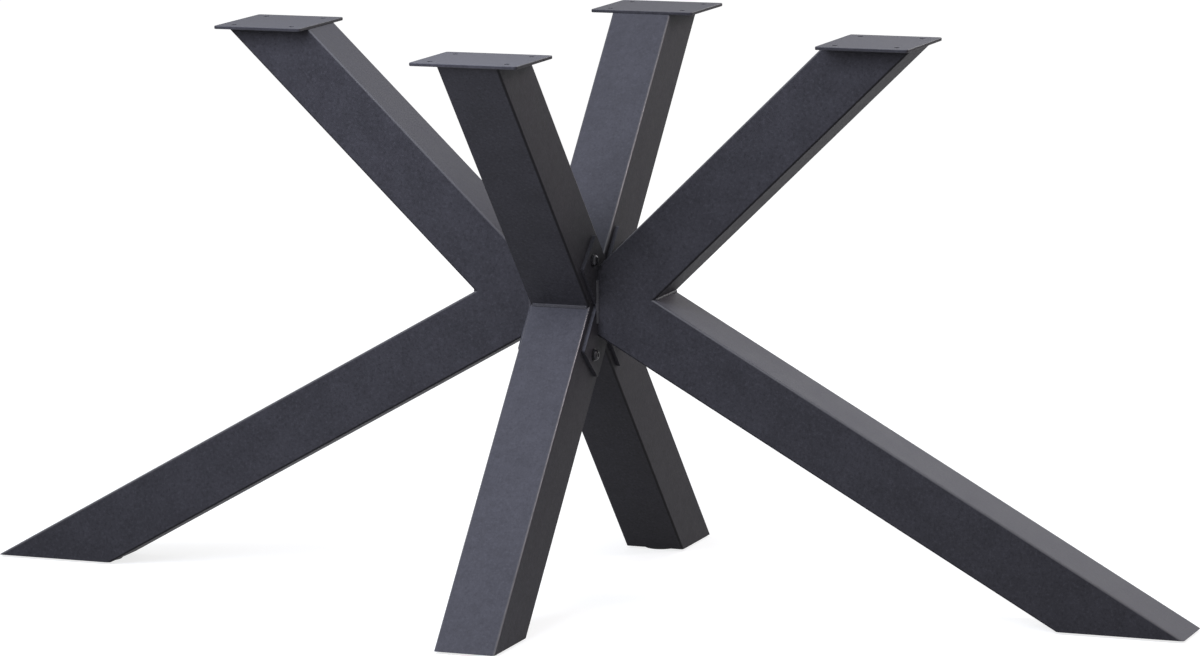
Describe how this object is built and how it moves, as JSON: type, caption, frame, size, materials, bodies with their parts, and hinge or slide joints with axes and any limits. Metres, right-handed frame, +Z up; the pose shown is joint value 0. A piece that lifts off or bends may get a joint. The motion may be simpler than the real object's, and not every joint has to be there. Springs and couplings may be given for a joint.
{
  "type": "four star table base",
  "caption": "Welded square-tube table base: two wide V legs bolted to the sides of a crossed pair, with a drilled plate on each arm for the table top.",
  "frame": {"origin": "on the floor, under the centre of the cross where all the tubes meet", "axes": "+X runs to the right foot along the longer pair of legs, +Y to the rear foot along the crossed pair, +Z up"},
  "size_m": [1.6156, 0.7672, 0.72],
  "materials": {
    "coated_tube": "fine-textured matt anthracite powder coat",
    "coated_plate": "fine-textured matt anthracite powder coat",
    "weld_metal": "powder coat over a fillet weld",
    "glide_plastic": "matt black moulded plastic",
    "black_steel": "blackened steel, slightly glossy",
    "plated_steel": "zinc-plated steel"
  },
  "bodies": {
    "root": {"cross_main_tube": "coated_tube", "cross_front_arm": "coated_tube", "cross_rear_leg": "coated_tube", "left_upper_arm": "coated_tube", "left_lower_leg": "coated_tube", "right_upper_arm": "coated_tube", "right_lower_leg": "coated_tube", "left_top_plate": "coated_plate", "right_top_plate": "coated_plate", "front_top_plate": "coated_plate", "rear_top_plate": "coated_plate", "left_flange": "coated_plate", "right_flange": "coated_plate", "left_foot_plate": "coated_plate", "right_foot_plate": "coated_plate", "front_foot_plate": "coated_plate", "rear_foot_plate": "coated_plate", "left_glide": "glide_plastic", "right_glide": "glide_plastic", "front_glide": "glide_plastic", "rear_glide": "glide_plastic", "side_notch_welds": "weld_metal", "cross_welds": "weld_metal", "root_welds": "weld_metal", "flange_bolts": "black_steel", "flange_washers": "black_steel", "flange_nuts": "plated_steel", "glide_studs": "plated_steel", "glide_nuts": "plated_steel"}
  },
  "joints": []
}
